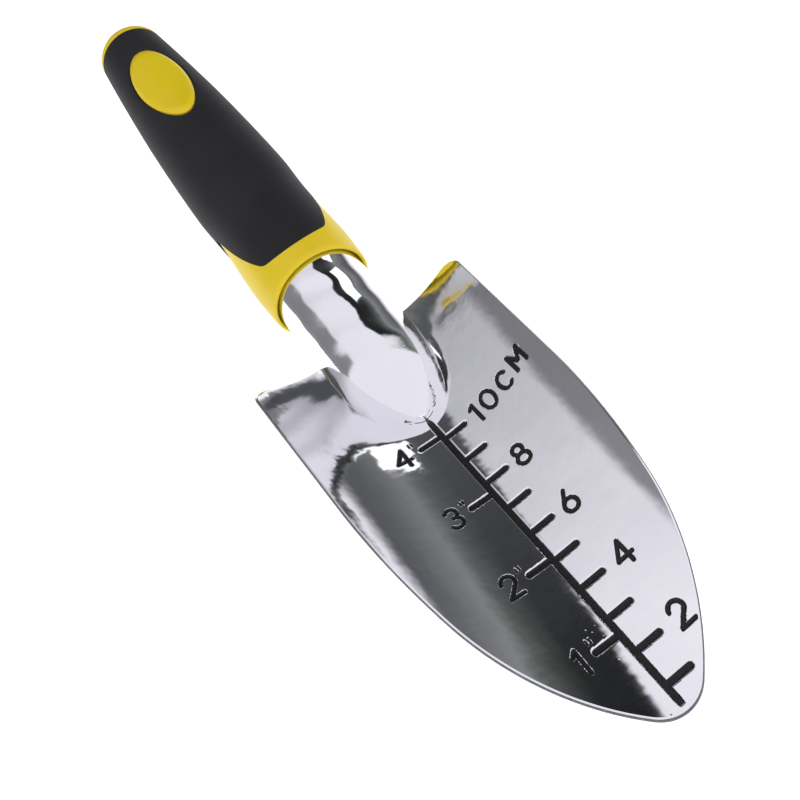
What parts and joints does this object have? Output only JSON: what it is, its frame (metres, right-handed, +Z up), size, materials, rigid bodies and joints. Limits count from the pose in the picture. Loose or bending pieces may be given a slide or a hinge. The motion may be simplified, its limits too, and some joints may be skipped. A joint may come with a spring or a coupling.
{
  "type": "hand trowel",
  "caption": "Garden hand trowel with a dished polished metal blade engraved with a depth ruler, a round neck and tang, and a tapered soft-grip handle.",
  "frame": {"origin": "middle of the bounding box in X and Y, at its lowest point in Z, under the rear of the blade", "axes": "+Y from the blade tip to the butt of the handle, +Z up with the scoop facing up, +X the side with the centimetre marks"},
  "size_m": [0.0776, 0.3, 0.064],
  "materials": {
    "polished_metal": "mirror polished cast aluminium with fine smudges and small pits",
    "yellow_plastic": "semi-gloss moulded yellow plastic",
    "black_soft": "matte soft-touch moulded sleeve with a very fine grain"
  },
  "bodies": {
    "root": {"blade": "polished_metal", "handle_core": "yellow_plastic", "grip_sleeve": "black_soft", "oval_inlay": "yellow_plastic", "end_cap": "yellow_plastic"}
  },
  "joints": []
}
